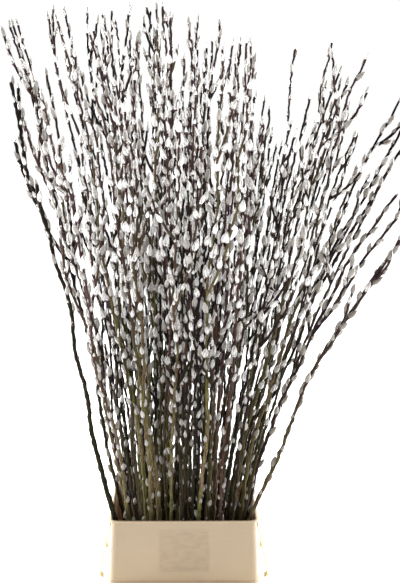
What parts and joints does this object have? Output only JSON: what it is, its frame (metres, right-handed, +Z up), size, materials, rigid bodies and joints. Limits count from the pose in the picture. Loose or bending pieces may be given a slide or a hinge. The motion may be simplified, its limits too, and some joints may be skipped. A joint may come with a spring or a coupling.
{
  "type": "pussy willow branches in container",
  "caption": "Cut pussy willow branches with downy catkins, fanning upright from a low florist's container that holds and displays them.",
  "frame": {"origin": "middle of the container's underside, on the surface it stands on", "axes": "+Z up along the branches, X along the container's short front side, +Y towards its back"},
  "size_m": [0.8923, 0.6365, 1.1634],
  "materials": {
    "container_plastic": "satin",
    "bark": "satin",
    "catkin_down": "matte",
    "bud_scale": "satin"
  },
  "bodies": {
    "root": {"container": "container_plastic", "branch_01": "bark", "branch_02": "bark", "branch_03": "bark", "branch_04": "bark", "branch_05": "bark", "branch_06": "bark", "branch_07": "bark", "branch_08": "bark", "branch_09": "bark", "branch_10": "bark", "branch_11": "bark", "branch_12": "bark", "branch_13": "bark", "branch_14": "bark", "branch_15": "bark", "branch_16": "bark", "branch_17": "bark", "branch_18": "bark", "branch_19": "bark", "branch_20": "bark", "branch_21": "bark", "branch_22": "bark", "branch_23": "bark", "branch_24": "bark", "branch_25": "bark", "branch_26": "bark", "branch_27": "bark", "branch_28": "bark", "branch_29": "bark", "branch_30": "bark", "branch_31": "bark", "branch_32": "bark", "branch_33": "bark", "branch_34": "bark", "branch_35": "bark", "branch_36": "bark", "branch_37": "bark", "branch_38": "bark", "branch_39": "bark", "branch_40": "bark", "branch_41": "bark", "branch_42": "bark", "branch_43": "bark", "branch_44": "bark", "branch_45": "bark", "branch_46": "bark", "branch_47": "bark", "branch_48": "bark", "branch_49": "bark", "branch_50": "bark", "branch_51": "bark", "branch_52": "bark", "branch_53": "bark", "branch_54": "bark", "branch_55": "bark", "branch_56": "bark", "branch_57": "bark"}
  },
  "joints": []
}
